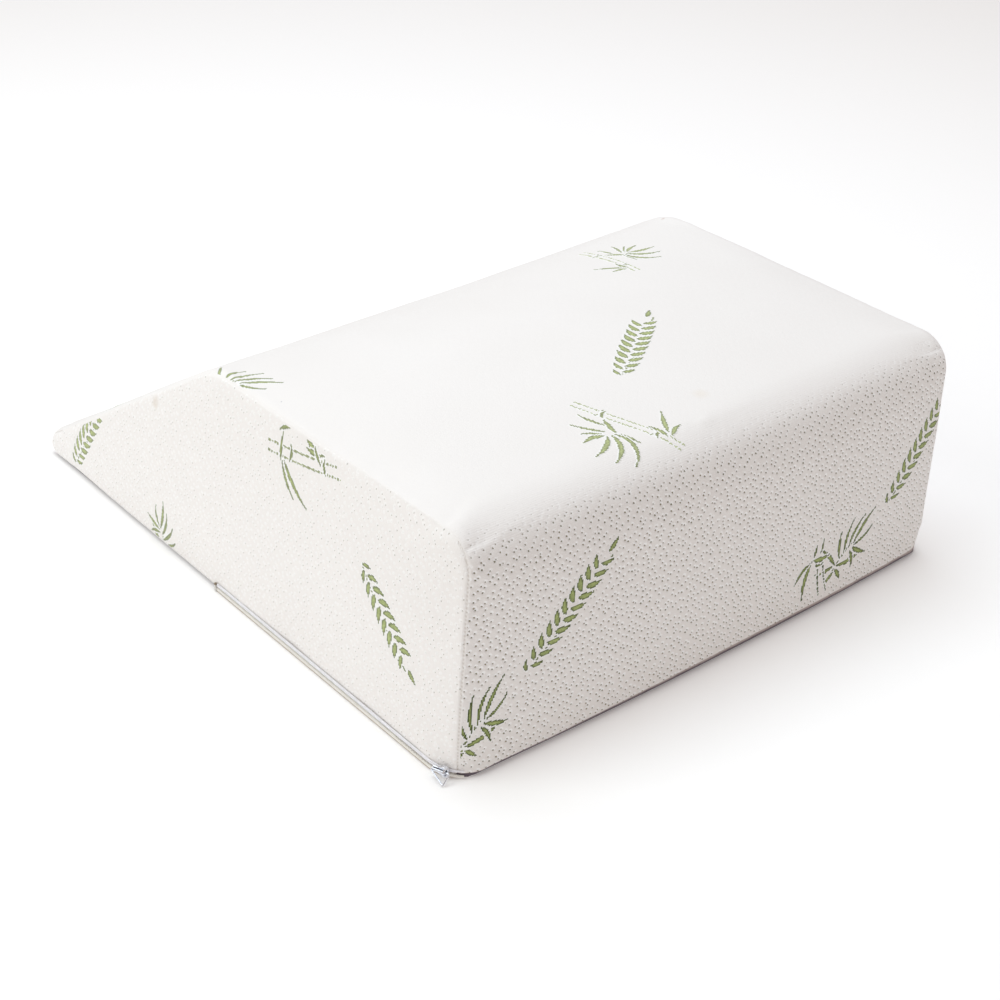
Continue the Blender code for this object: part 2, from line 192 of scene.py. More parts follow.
def side_panel(base, top, slope, back):
    """A side panel inside its seam: a blend of its four edges, set in by its depth."""
    ring = np.concatenate([base[:-1], back[:-1], top[:0:-1], slope[:0:-1]])
    u = (spacing(base) + spacing(top))[:, None, None] / 2
    v = (spacing(slope) + spacing(back))[None, :, None] / 2
    corners = (1 - u) * ((1 - v) * base[0] + v * top[0]) + u * ((1 - v) * base[-1] + v * top[-1])
    edges = (1 - v) * base[:, None] + v * top[:, None] + (1 - u) * slope[None] + u * back[None]
    flat = edges - corners
    distance, height = nearest_on_ring(flat.reshape(-1, 2), ring)
    depth = panel_depth(distance, seam_radius(height)).reshape(flat.shape[:2])
    return flat, depth, distance.reshape(flat.shape[:2])


def draw_in_corners(points):
    """Rounds the upright back corners, and draws them in where the cover meets the base."""
    x, y, z = points.T
    foot = np.where(y < 0, NEAR_FOOT_RADIUS, FAR_FOOT_RADIUS)
    radius = UPRIGHT_RADIUS + (foot - UPRIGHT_RADIUS) * np.exp(-((z / FOOT_DRAW_HEIGHT) ** 2))
    past_x = np.maximum(x - (HALF_DEPTH - radius), 0)
    past_y = np.maximum(np.abs(y) - (HALF_WIDTH - radius), 0)
    reach = np.hypot(past_x, past_y)
    both = (past_x > 0) & (past_y > 0)
    shrink = np.where(both & (reach > radius), radius / np.maximum(reach, radius), 1.0)
    x = np.where(both, HALF_DEPTH - radius + past_x * shrink, x)
    y = np.where(both, np.sign(y) * (HALF_WIDTH - radius + past_y * shrink), y)
    return np.stack([x, y, z], axis=1)


def settle(points):
    """Crowns, bows and leans the plain rounded block, as its filling and its weight do."""
    x, y, z = draw_in_corners(points).T
    rise = z / HEIGHT
    across = y / HALF_WIDTH
    along = (x + HALF_DEPTH) / DEPTH
    over_top = np.clip((x - CREASE_X) / TOP_DEPTH, 0, 1)
    middle = 1 - across**2
    crown = TOP_CROWN * middle * np.sin(math.pi * over_top) * rise
    sag = CREASE_SAG * middle * np.exp(-(((x - CREASE_X) / CREASE_SAG_REACH) ** 2)) * rise
    skew = CREASE_SKEW * across * rise * (1 - over_top)
    new_x = x + BACK_BOW * middle * along**2 - skew
    new_y = y - NEAR_SPLAY * (1 - rise) * np.maximum(-across, 0) * along
    return np.stack([new_x, new_y, z + crown - sag], axis=1)


def cover_panels(finer):
    """Each panel of the cover as a grid: its settled places, its cloth coordinates and its grid keys."""
    turn = TURN_STEPS * finer
    edges = {
        "base": profile_edge("toe", "heel", ALONG_STEPS * finer, turn),
        "top": profile_edge("crease", "fold", ALONG_STEPS * finer, turn),
        "slope": profile_edge("toe", "crease", RISE_STEPS * finer, turn),
        "back": profile_edge("heel", "fold", RISE_STEPS * finer, turn),
    }
    made = {name: wrap_strip(*edge, ACROSS_STEPS * finer, turn) for name, edge in edges.items()}
    strips = {name: strip for name, (strip, _) in made.items()}
    seam = {name: strip[:, 0][:, [0, 2]] for name, strip in strips.items()}
    flat, depth, from_edge = side_panel(seam["base"], seam["top"], seam["slope"], seam["back"])
    lengths = {name: spacing(points) * edge_length(points) for name, (points, _) in edges.items()}
    slope_end = lengths["slope"][-1]
    back_end = slope_end + lengths["top"][-1] + lengths["back"][-1]
    run = {
        "slope": lengths["slope"],
        "top": slope_end + lengths["top"],
        "back": back_end - lengths["back"],
    }
    last_i, last_k = len(edges["base"][0]) - 1, len(edges["back"][0]) - 1
    last_j = strips["base"].shape[1] - 1
    panels = {}
    for name in ("slope", "top", "back"):
        across = made[name][1]
        cloth = np.stack([np.broadcast_to(run[name][:, None], across.shape), across], -1)
        from_ends = np.minimum(cloth[..., 0], back_end - cloth[..., 0])
        from_sides = across[:, -1:] - np.abs(across)
        panels[name] = {
            "places": strips[name],
            "cloth": cloth + WRAP_AT,
            "from_seam": np.minimum(from_ends, from_sides),
            "from_foot": from_ends,
        }
    across = made["base"][1]
    from_ends = np.minimum(lengths["base"], lengths["base"][-1] - lengths["base"])[:, None]
    panels["base"] = {
        "places": strips["base"],
        "cloth": strips["base"][..., :2] + BASE_AT,
        "from_seam": np.minimum(from_ends, across[:, -1:] - np.abs(across)),
    }
    panels["base"]["from_foot"] = panels["base"]["from_seam"]
    for name, sign, at in (("near", -1, NEAR_AT), ("far", 1, FAR_AT)):
        places = np.stack([flat[..., 0], sign * (HALF_WIDTH - depth), flat[..., 1]], -1)
        panels[name] = {
            "places": places,
            "cloth": flat + at,
            "from_seam": from_edge,
            "from_foot": flat[..., 1] - flat[:, :1, 1],
        }
    across, along, up = np.arange(last_j + 1), np.arange(last_i + 1), np.arange(last_k + 1)
    keys = {
        "slope": (0, across[None], up[:, None]),
        "back": (last_i, across[None], up[:, None]),
        "top": (along[:, None], across[None], last_k),
        "base": (along[:, None], across[None], 0),
        "near": (along[:, None], 0, up[None]),
        "far": (along[:, None], last_j, up[None]),
    }
    for name, panel in panels.items():
        shape = panel["places"].shape
        panel["places"] = settle(panel["places"].reshape(-1, 3)).reshape(shape)
        panel["keys"] = np.stack(np.broadcast_arrays(*keys[name]), -1)
    return panels, (last_i, last_j, last_k)


def edge_length(points):
    return np.linalg.norm(np.diff(points, axis=0), axis=1).sum()


TURNED_OVER = {"base", "back", "far"}


def numbered(panels, steps):
    """Numbers the places that the panels share, and gives each one's place and distance from a seam."""
    index = np.full([n + 1 for n in steps], -1)
    for panel in panels.values():
        index[tuple(np.moveaxis(panel["keys"], -1, 0))] = 0
    shown = np.argwhere(index == 0)
    index[tuple(shown.T)] = np.arange(len(shown))
    places, from_seam = np.zeros((len(shown), 3)), np.full(len(shown), np.inf)
    for panel in panels.values():
        numbers = index[tuple(np.moveaxis(panel["keys"], -1, 0))]
        panel["numbers"] = numbers
        places[numbers] = panel["places"]
        from_seam[numbers] = np.minimum(from_seam[numbers], panel["from_seam"])
    return places, np.maximum(from_seam, 0)


def by_corner(panels, key):
    """A value of the panels' grids, for every corner of every four-sided face."""
    found = []
    for name, panel in panels.items():
        grid = panel[key]
        corners = [(0, 0), (1, 0), (1, 1), (0, 1)]
        if name in TURNED_OVER:
            corners.reverse()
        rows, columns = grid.shape[0] - 1, grid.shape[1] - 1
        windows = [grid[a : rows + a, b : columns + b] for a, b in corners]
        found.append(np.stack(windows, 2).reshape(-1, *grid.shape[2:]))
    return np.concatenate(found)


def cover_faces(panels):
    return by_corner(panels, "numbers").reshape(-1, 4), by_corner(panels, "cloth")


def surface_mesh(name, places, faces, cloth):
    mesh = bpy.data.meshes.new(name)
    mesh.from_pydata(places.tolist(), [], faces.tolist())
    uv = mesh.uv_layers.new(name="cloth")
    uv.data.foreach_set("uv", cloth.ravel())
    mesh.shade_smooth()
    return mesh


def normals_of(mesh):
    flat = np.zeros(len(mesh.vertices) * 3)
    mesh.vertices.foreach_get("normal", flat)
    return flat.reshape(-1, 3)


def places_of(mesh):
    flat = np.zeros(len(mesh.vertices) * 3)
    mesh.vertices.foreach_get("co", flat)
    return flat.reshape(-1, 3)


# The filling swells the cover between its seams, and the sewing draws it in along them

SWELL = 0.0012
SWELL_REACH = 0.020
SWELL_FRAMES = 20
SWELL_PRESSURE = 4.0
PINNED_WITHIN = 0.0015
SEAM_DEPTH = 0.0004
SEAM_HALF_WIDTH = 0.0013
SOFT_SEAM = 0.25
SOFT_SEAM_X = 0.27
PUCKER = 0.0005
PUCKER_REACH = 0.012
PUCKER_SIZE = 0.013
UNEVEN = 0.0005
UNEVEN_SIZE = 0.060
LEVEL_BASE_HEIGHT = 0.004


def swell(places, faces, cloth, from_seam):
    """How far the filling pushes each place of the cover out, from a cloth simulation with its seams held."""
    mesh = surface_mesh("swelling", places, faces, cloth)
    smaller = normals_of(mesh) * (SWELL * smooth(from_seam / SWELL_REACH))[:, None]
    mesh.vertices.foreach_set("co", (places - smaller).ravel())
    thing = bpy.data.objects.new("swelling", mesh)
    scene = bpy.context.scene
    scene.collection.objects.link(thing)
    held = thing.vertex_groups.new(name="seams")
    held.add(np.flatnonzero(from_seam < PINNED_WITHIN).tolist(), 1.0, "REPLACE")
    settings = thing.modifiers.new("filling", "CLOTH").settings
    settings.vertex_group_mass = "seams"
    settings.use_pressure = True
    settings.uniform_pressure_force = SWELL_PRESSURE
    settings.effector_weights.gravity = 0
    scene.frame_start, scene.frame_end = 1, SWELL_FRAMES
    for number in range(1, SWELL_FRAMES + 1):
        scene.frame_set(number)
    swollen = places_of(thing.evaluated_get(bpy.context.evaluated_depsgraph_get()).to_mesh())
    scene.frame_set(1)
    move = swollen - (places - smaller)
    bpy.data.objects.remove(thing, do_unlink=True)
    bpy.data.meshes.remove(mesh)
    far = np.linalg.norm(move, axis=1, keepdims=True)
    return move * (2 * SWELL * np.tanh(far / (2 * SWELL)) / np.maximum(far, 1e-9)) - smaller


def finer_moves(moves, panels, fine_panels, count):
    """The moves of a coarse grid, read at the places of a grid of half its steps."""
    fine = np.zeros((count, 3))
    for name, panel in panels.items():
        grid = moves[panel["numbers"]]
        for axis in (0, 1):
            between = (np.roll(grid, -1, axis) + grid) / 2
            between = np.delete(between, -1, axis)
            grid = np.insert(grid, np.arange(1, grid.shape[axis]), between, axis)
        fine[fine_panels[name]["numbers"]] = grid
    return fine


def field(places, size, seed):
    """A smooth uneven value from about -1 to 1 at each place."""
    return np.array([noise.noise(Vector(p) / size + Vector((seed, 0, 0))) for p in places.tolist()])


def sewn_cover():
    """The cover's mesh: swollen by its filling, drawn in at its seams and puckered beside them."""
    panels, steps = cover_panels(2)
    places, from_seam = numbered(panels, steps)
    faces, cloth = cover_faces(panels)
    mesh = surface_mesh("pillow_cover", places, faces, cloth)
    normals = normals_of(mesh)
    height = places[:, 2].copy()
    coarse, coarse_steps = cover_panels(1)
    coarse_places, coarse_from_seam = numbered(coarse, coarse_steps)
    moves = swell(coarse_places, *cover_faces(coarse), coarse_from_seam)
    places = places + finer_moves(moves, coarse, panels, len(places))
    upright = SOFT_SEAM + (1 - SOFT_SEAM) * smooth((places[:, 0] - SOFT_SEAM_X) / (HALF_DEPTH - SOFT_SEAM_X))
    seam = -SEAM_DEPTH * upright * np.exp(-((from_seam / SEAM_HALF_WIDTH) ** 2))
    beside = np.exp(-from_seam / PUCKER_REACH) * smooth(from_seam / (2 * SEAM_HALF_WIDTH))
    lift = seam + PUCKER * beside * field(places, PUCKER_SIZE, 3) + UNEVEN * field(places, UNEVEN_SIZE, 7)
    above = smooth(height / LEVEL_BASE_HEIGHT)
    places = places + normals * (lift * above)[:, None]
    places[:, 2] = np.where(height < 1e-4, 0.0, np.maximum(places[:, 2], 0.0))
    mesh.vertices.foreach_set("co", places.ravel())
    mesh.update()
    return mesh, panels, from_seam


def add_piece(name, mesh, finish):
    thing = bpy.data.objects.new(name, mesh)
    mesh.materials.append(finish)
    bpy.context.scene.collection.objects.link(thing)
    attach(thing, "root")
    return thing


# Leaf sprigs knitted into the cover, drawn on a grid of stitches, each panel's in its cloth coordinates

MM = 0.001
STITCH = 0.0011
LEAF_SAMPLES = 28
DASH = 3.3
DASH_SHARE = 0.80
LINE_SAMPLE = 0.5
SPRIG_LIFT = 0.00022
SPRIG_ROOT = 0.0006
SMOOTHING = 0.75
YARN_DARK = (0.060, 0.085, 0.012)
YARN_LIGHT = (0.330, 0.400, 0.130)
# The lighter green that sprigs on lit faces are drawn towards, and how far each form goes: painted light.
YARN_LIT_PALE = (0.730, 0.770, 0.480)
PALER_IN_LIGHT = {"leaf": 0.5, "stem": 0.7, "dashes": 0.9}
YARN_SPREAD = 0.22
HALO_WHITE = (0.93, 0.93, 0.92)
EDGE_MARGIN = 0.0008


def part(form, x, y, turn, long, wide, bend):
    """Millimetres and degrees in the sprig's own frame: where a part starts, its heading, size and curve."""
    return {"form": form, "x": x, "y": y, "turn": turn, "long": long, "wide": wide, "bend": bend}


def leaf(x, y, turn, long, wide, bend):
    return part("leaf", x, y, turn, long, wide, bend)


def stem(x, y, turn, long, wide, bend=0):
    return part("stem", x, y, turn, long, wide, bend)


def dashes(x, y, turn, long, wide, bend=0):
    return part("dashes", x, y, turn, long, wide, bend)


# Two knots of narrow leaves on one short stem
FAN = (
    stem(-8, -4, turn=24, long=9, wide=2.4),
    stem(0, 0, turn=6, long=24, wide=2.2, bend=-8),
    leaf(-1, 2, turn=146, long=24, wide=3.8, bend=-16),
    leaf(0, 2, turn=98, long=31, wide=4.0, bend=10),
    leaf(1, -1, turn=-30, long=31, wide=4.6, bend=14),
    leaf(-2, -3, turn=-92, long=14, wide=4.4, bend=-10),
    leaf(-5, -4, turn=190, long=13, wide=4.2, bend=22),
    leaf(7, 2, turn=58, long=27, wide=3.4, bend=-14),
    leaf(19, -3, turn=-112, long=18, wide=3.8, bend=-18),
    leaf(23, -3, turn=-66, long=21, wide=4.6, bend=12),
    leaf(13, 2, turn=40, long=33, wide=3.2, bend=-16),
    leaf(20, 2, turn=22, long=32, wide=3.2, bend=-20),
    leaf(26, -2, turn=-6, long=25, wide=3.0, bend=22),
    leaf(26, 0, turn=14, long=36, wide=3.8, bend=-12),
)
# Hanging leaves beside a dashed double stalk
DROOP = (
    dashes(4, 7, turn=8, long=36, wide=1.5, bend=6),
    dashes(4, 13, turn=12, long=34, wide=1.5, bend=6),
    leaf(5, 4, turn=76, long=11, wide=2.4, bend=46),
    leaf(-4, 10, turn=172, long=12, wide=2.4, bend=16),
    leaf(-2, 2, turn=166, long=11, wide=2.6, bend=0),
    leaf(0, 1, turn=82, long=20, wide=4.8, bend=20),
    leaf(0, 0, turn=-14, long=36, wide=4.2, bend=20),
    leaf(2, -3, turn=-50, long=22, wide=3.4, bend=24),
)
# A dashed cane with two joints, and long curved leaves that hang from a side branch
CANE = (
    dashes(0, 3, turn=0, long=92, wide=1.5, bend=4),
    dashes(0, -3, turn=0, long=92, wide=1.5, bend=4),
    leaf(21, -5, turn=80, long=10, wide=2.4, bend=40),
    leaf(27, -5, turn=100, long=10, wide=2.4, bend=-40),
    leaf(67, -5, turn=80, long=10, wide=2.4, bend=40),
    leaf(73, -5, turn=100, long=10, wide=2.4, bend=-40),
    leaf(30, -8, turn=-34, long=23, wide=4.0, bend=6),
    leaf(33, -14, turn=176, long=22, wide=2.8, bend=-12),
    leaf(38, -22, turn=194, long=25, wide=2.8, bend=-10),
    leaf(40, -26, turn=212, long=17, wide=2.6, bend=14),
    leaf(47, -19, turn=-2, long=19, wide=2.8, bend=-8),
    leaf(46, -21, turn=-36, long=40, wide=3.6, bend=-42),
    leaf(45, -24, turn=-56, long=35, wide=4.2, bend=-34),
    leaf(43, -27, turn=-78, long=29, wide=4.4, bend=-22),
    leaf(40, -28, turn=-112, long=18, wide=4.6, bend=24),
    leaf(78, 1, turn=172, long=17, wide=3.2, bend=16),
    leaf(80, 5, turn=96, long=15, wide=3.8, bend=-18),
    leaf(76, 6, turn=128, long=28, wide=3.8, bend=-8),
)
# A dashed cane with a drooping pair of leaves, and smaller ones above it
JOINT = (
    dashes(-6, 4, turn=0, long=84, wide=1.7, bend=3),
    dashes(-6, -4, turn=0, long=90, wide=1.7, bend=3),
    leaf(21, -6, turn=86, long=13, wide=2.6, bend=34),
    leaf(66, -6, turn=94, long=13, wide=2.6, bend=-34),
    leaf(10, -8, turn=84, long=22, wide=3.2, bend=-12),
    leaf(14, -7, turn=-48, long=42, wide=4.0, bend=12),
    leaf(12, -9, turn=-62, long=30, wide=3.0, bend=16),
    leaf(8, 15, turn=12, long=27, wide=3.4, bend=-20),
    leaf(40, 16, turn=-36, long=21, wide=4.0, bend=-10),
    leaf(42, 9, turn=-2, long=22, wide=4.2, bend=14),
    leaf(52, 12, turn=-58, long=14, wide=3.0, bend=10),
)

# A straight row of small leaves on a thin stem
ROW_STEP = 9.5
ROW_STAGGER = 0.5
ROW_LEAF = {"long": 13.5, "wide": 5.4, "bend": 18, "turn": 48}
ROW_OFFSET = 0.8
ROW_TAPER = 0.35


def leaf_row(length):
    parts = [stem(0, 0, turn=-3, long=length, wide=1.5, bend=6)]
    for number in range(int(length // ROW_STEP)):
        for side in (1, -1):
            along = ROW_STEP * (number + ROW_STAGGER * (side < 0))
            size = 1 - ROW_TAPER * abs(2 * along / length - 1) ** 3
            turn, bend = side * ROW_LEAF["turn"], -side * ROW_LEAF["bend"]
            parts.append(leaf(along, ROW_OFFSET * side, turn, ROW_LEAF["long"] * size, ROW_LEAF["wide"] * size, bend))
    return (*parts, leaf(length, 0, turn=0, long=12, wide=4.4, bend=8))


def sprig(panel, at, turn, parts, depth_by_light, size=1.0, flip=1):
    """Where a sprig stands, on the wrap from the toe seam and across, on a side along x and up. Its depth of green is
    painted light and shade: full on the shaded back, lower on the brightly lit top and sides, where its stitches are
    drawn a lighter green.
    """
    return {"panel": panel, "at": at, "turn": turn, "parts": parts, "depth_by_light": depth_by_light, "size": size, "flip": flip}


SPRIGS = (
    sprig("wrap", (814, -245), 141, FAN, depth_by_light=1.0, size=0.96),
    sprig("wrap", (809, 127), 124, FAN, depth_by_light=1.0, size=0.96),
    sprig("wrap", (792, 97), 2, DROOP, depth_by_light=1.0),
    sprig("wrap", (556, -74), 20, CANE, depth_by_light=0.30),
    sprig("wrap", (334, 140), -6, CANE, depth_by_light=0.25, size=0.86, flip=-1),
    sprig("wrap", (352, -258), 36, FAN, depth_by_light=0.4, size=0.9),
    sprig("wrap", (768, -195), 137, leaf_row(100), depth_by_light=0.9),
    sprig("wrap", (544, -14), 125, leaf_row(104), depth_by_light=0.45),
    sprig("wrap", (772, 186), 140, leaf_row(100), depth_by_light=0.9),
    sprig("wrap", (262, -196), 131, leaf_row(106), depth_by_light=0.5),
    sprig("wrap", (196, 40), 131, leaf_row(106), depth_by_light=0.5),
    sprig("wrap", (74, -70), 12, CANE, depth_by_light=0.5),
    sprig("wrap", (96, 190), 141, FAN, depth_by_light=0.5),
    sprig("wrap", (110, -214), 40, FAN, depth_by_light=0.5, flip=-1),
    sprig("near", (83, 173), 9, JOINT, depth_by_light=0.6),
    sprig("near", (-86, -6), 88, FAN, depth_by_light=0.55, size=0.9, flip=-1),
    sprig("near", (201, 130), -45.5, leaf_row(82), depth_by_light=0.7),
    sprig("near", (-231, 12), 60, leaf_row(90), depth_by_light=0.5),
    sprig("far", (60, 40), 14, CANE, depth_by_light=0.6, flip=-1),
    sprig("far", (-90, 20), 48, leaf_row(96), depth_by_light=0.6),
    sprig("far", (214, 128), 60, FAN, depth_by_light=0.6),
    sprig("far", (-216, 10), 20, FAN, depth_by_light=0.6, size=0.9),
)
PATCHES_TURNED_OVER = {"far"}
PANEL_SHEETS = {
    "wrap": {"at": WRAP_AT, "low": (0.0, -0.2505), "high": (0.8450, 0.2505), "seed": 11},
    "near": {"at": NEAR_AT, "low": (-0.2850, 0.0), "high": (0.3130, 0.2000), "seed": 12},
    "far": {"at": FAR_AT, "low": (-0.2850, 0.0), "high": (0.3130, 0.2000), "seed": 13},
}


def turned(x, y, degrees):
    angle = math.radians(degrees)
    return np.array([x * math.cos(angle) - y * math.sin(angle), x * math.sin(angle) + y * math.cos(angle)])


def draw_part(green, cover, low, sprig, part):
    """Fills the stitches that a leaf, stem or dashed line covers, and clears a white edge round them."""
    flip, size = sprig["flip"], sprig["size"] * MM
    start = np.array(sprig["at"]) * MM + turned(part["x"], flip * part["y"], sprig["turn"]) * size
    samples = max(LEAF_SAMPLES, int(part["long"] / LINE_SAMPLE))
    t = np.linspace(0, 1, samples)
    heading = np.radians(sprig["turn"] + flip * (part["turn"] + part["bend"] * (2 * t - 1)))
    step = part["long"] * size / (samples - 1)
    way = np.stack([np.cos(heading), np.sin(heading)], 1) * step
    middle = start + np.cumsum(way, axis=0) - way
    taper = np.sin(math.pi * np.clip(t, 0.02, 0.97) ** 0.8) ** 0.8 if part["form"] == "leaf" else 1.0
    half = np.maximum(part["wide"] * size / 2 * taper, STITCH * 0.62) * np.ones(samples)
    room = part["wide"] * size / 2 + 3 * STITCH
    first = np.maximum(np.floor((middle.min(0) - room - low) / STITCH).astype(int), 0)
    last = np.minimum(np.ceil((middle.max(0) + room - low) / STITCH).astype(int), cover.shape)
    if (last <= first).any():
        return
    rows, columns = np.arange(first[0], last[0]), np.arange(first[1], last[1])
    centres = np.stack(np.meshgrid(rows, columns, indexing="ij"), -1) * STITCH + low + STITCH / 2
    away = np.linalg.norm(centres[:, :, None, :] - middle, axis=-1)
    nearest = (away / half).argmin(axis=-1)
    from_middle = np.take_along_axis(away, nearest[..., None], -1)[..., 0]
    inside = from_middle < half[nearest]
    if part["form"] == "dashes":
        inside &= (nearest * step / (DASH * MM)) % 1 < DASH_SHARE
    within = np.clip((half[nearest] - from_middle) / STITCH - 0.35, 0, 1)
    edge = grown(inside)
    window = np.s_[first[0] : last[0], first[1] : last[1]]
    cover[window] |= edge
    green[window][edge & ~inside] = 0
    # Painted light: a sprig on a lit face is drawn a lighter green, more so for stems and dashed stalks.
    paled_by_light = (1 - sprig["depth_by_light"]) * PALER_IN_LIGHT[part["form"]]
    shaded = (np.array(YARN_DARK) + (np.array(YARN_LIGHT) - YARN_DARK) * within[..., None])[inside]
    green[window][inside] = shaded + (np.array(YARN_LIT_PALE) - shaded) * paled_by_light


def grown(mask, corners=True):
    """A mask with each of its stitches' neighbours added."""
    padded = np.pad(mask, 1)
    made = mask.copy()
    rows, columns = mask.shape
    for i in (0, 1, 2):
        for j in (0, 1, 2):
            if corners or 1 in (i, j):
                made |= padded[i : i + rows, j : j + columns]
    return made


def without_touching_corners(mask, allowed):
    """Fills a stitch where two meet at a corner alone, or clears one of them, so that the patch is closed."""
    allowed = allowed.copy()
    mask = mask & allowed
    a, b, c, d = (np.s_[:-1, :-1], np.s_[1:, :-1], np.s_[:-1, 1:], np.s_[1:, 1:])
    while True:
        meeting = mask[a] & mask[d] & ~mask[b] & ~mask[c]
        crossing = mask[b] & mask[c] & ~mask[a] & ~mask[d]
        if not (meeting.any() or crossing.any()):
            return mask
        for found, fill, clear in ((meeting, b, d), (crossing, a, c)):
            mask[fill] |= found & allowed[fill]
            allowed[clear] &= ~(found & ~allowed[fill])
        mask &= allowed


def sheet_stitches(name):
    """The panel's stitches: the green of each coloured one, and which ones the sprigs and their edges cover."""
    sheet = PANEL_SHEETS[name]
    low = np.array(sheet["low"])
    shape = np.ceil((np.array(sheet["high"]) - low) / STITCH).astype(int)
    green, cover = np.zeros((*shape, 3)), np.zeros(shape, bool)
    for sprig in SPRIGS:
        if sprig["panel"] == name:
            for part in sprig["parts"]:
                draw_part(green, cover, low, sprig, part)
    return green, cover


class ClothMap:
    """Finds the place on the sewn cover that a point of the spread-out cloth has."""

    def __init__(self, mesh):
        mesh.calc_loop_triangles()
        uv = mesh.uv_layers["cloth"].data
        self.flat = [Vector((*corner.uv, 0)) for corner in uv]
        self.triangles = [tuple(t.loops) for t in mesh.loop_triangles]
        self.tree = BVHTree.FromPolygons(self.flat, self.triangles)
        self.vertex = [loop.vertex_index for loop in mesh.loops]
        self.places = [v.co.copy() for v in mesh.vertices]
        self.normals = [v.normal.copy() for v in mesh.vertices]

    def has(self, u, v):
        return self.tree.ray_cast(Vector((u, v, 1)), Vector((0, 0, -1)))[0] is not None

    def at(self, u, v):
        hit, _, number, _ = self.tree.ray_cast(Vector((u, v, 1)), Vector((0, 0, -1)))
        if hit is None:
            return None
        flat = [self.flat[corner] for corner in self.triangles[number]]
        vertices = [self.vertex[corner] for corner in self.triangles[number]]
        places = [self.places[vertex] for vertex in vertices]
        normals = [self.normals[vertex] for vertex in vertices]
        share = barycentric_transform(hit, *flat, Vector((1, 0, 0)), Vector((0, 1, 0)), Vector((0, 0, 1)))
        place = sum((p * w for p, w in zip(places, share, strict=True)), Vector())
        normal = sum((n * w for n, w in zip(normals, share, strict=True)), Vector()).normalized()
        bulge = Vector()
        for corner, facing, weight in zip(places, normals, share, strict=True):
            bulge -= facing * ((place - corner).dot(facing) * weight)
        return place + bulge * SMOOTHING, normal


RING = ((0, 0), (1, 0), (1, 1), (0, 1))
BESIDE = (((0, -1), 0, 1), ((1, 0), 1, 2), ((0, 1), 2, 3), ((-1, 0), 3, 0))


def reachable(cover, at, cloth_map):
    """Where each stitch corner lies on the cover, and which stitches keep clear of the panel's edges."""
    allowed = np.zeros_like(cover)
    found = {}
    for i, j in np.argwhere(grown(cover)):
        for a, b in RING:
            corner = (i + a, j + b)
            if corner not in found:
                place = np.array(corner) * STITCH + at
                ways = ((EDGE_MARGIN, 0), (-EDGE_MARGIN, 0), (0, EDGE_MARGIN), (0, -EDGE_MARGIN))
                clear = all(cloth_map.has(*(place + way)) for way in ways)
                found[corner] = cloth_map.at(*place) if clear else None
        allowed[i, j] = all(found[(i + a, j + b)] for a, b in RING)
    return found, allowed


def yarn_colours(green, seed):
    """Each stitch's colour: white at a sprig's edge and a little uneven green inside it."""
    uneven = 1 + YARN_SPREAD * (2 * np.random.default_rng(seed).random(green.shape[:2]) - 1)
    return np.where(green.any(-1)[..., None], green * uneven[..., None], HALO_WHITE)


def sprig_patch(name, cloth_map):
    """One closed thin mesh of a panel's sprigs, its stitches coloured and its rim sunk in the cover."""
    sheet = PANEL_SHEETS[name]
    green, cover = sheet_stitches(name)
    at = np.array(sheet["low"]) + sheet["at"]
    found, allowed = reachable(cover, at, cloth_map)
    cover = without_touching_corners(cover, allowed)
    colour_of = yarn_colours(green, sheet["seed"])
    raised = np.pad(cover, 1)
    raised = raised[:-1, :-1] & raised[1:, :-1] & raised[:-1, 1:] & raised[1:, 1:]
    number, top, bottom = {}, [], []
    cells = [tuple(cell) for cell in np.argwhere(cover).tolist()]
    ringed = np.pad(cover, 1)
    for i, j in cells:
        for a, b in RING:
            corner = (i + a, j + b)
            if corner not in number:
                place, normal = found[corner]
                number[corner] = len(top)
                top.append(place + normal * (SPRIG_LIFT if raised[corner] else -SPRIG_LIFT))
                bottom.append(place - normal * SPRIG_ROOT)
    count = len(top)
    faces, colours, cloth = [], [], []

    def add_face(face, colour, spots):
        faces.append(face)
        colours.extend([colour] * 4)
        cloth.extend(spots)

    for i, j in cells:
        corners = [(i + a, j + b) for a, b in RING]
        quad = [number[corner] for corner in corners]
        spots = [(at[0] + x * STITCH, at[1] + y * STITCH) for x, y in corners]
        add_face(quad, colour_of[i, j], spots)
        add_face([count + v for v in reversed(quad)], HALO_WHITE, spots[::-1])
        for (x, y), a, b in BESIDE:
            if not ringed[i + x + 1, j + y + 1]:
                wall = [quad[b], quad[a], count + quad[a], count + quad[b]]
                add_face(wall, HALO_WHITE, [spots[b], spots[a], spots[a], spots[b]])
    mesh = bpy.data.meshes.new("leaf_sprigs_" + name)
    mesh.from_pydata([tuple(p) for p in top + bottom], [], faces)
    paint = mesh.color_attributes.new("yarn", "FLOAT_COLOR", "CORNER")
    paint.data.foreach_set("color", np.column_stack([np.array(colours), np.ones(len(colours))]).ravel())
    uv = mesh.uv_layers.new(name="cloth")
    uv.data.foreach_set("uv", np.array(cloth).ravel())
    if name in PATCHES_TURNED_OVER:
        mesh.flip_normals()
    mesh.shade_smooth()
    return mesh


# Materials


def plain_material(name, colour, roughness, metallic=0.0):
    made = bpy.data.materials.new(name)
    made.use_nodes = True
    shader = made.node_tree.nodes["Principled BSDF"]
    shader.inputs["Base Color"].default_value = (*colour, 1.0)
    shader.inputs["Roughness"].default_value = roughness
    shader.inputs["Metallic"].default_value = metallic
    return made


def add_node(tree, kind, inputs=None, **settings):
    made = tree.nodes.new("ShaderNode" + kind)
    for name, value in settings.items():
        setattr(made, name, value)
    for name, value in (inputs or {}).items():
        if isinstance(value, bpy.types.NodeSocket):
            tree.links.new(value, made.inputs[name])
        else:
            made.inputs[name].default_value = value
    return made


def maths(tree, operation, *values):
    return add_node(tree, "Math", dict(enumerate(values)), operation=operation).outputs[0]


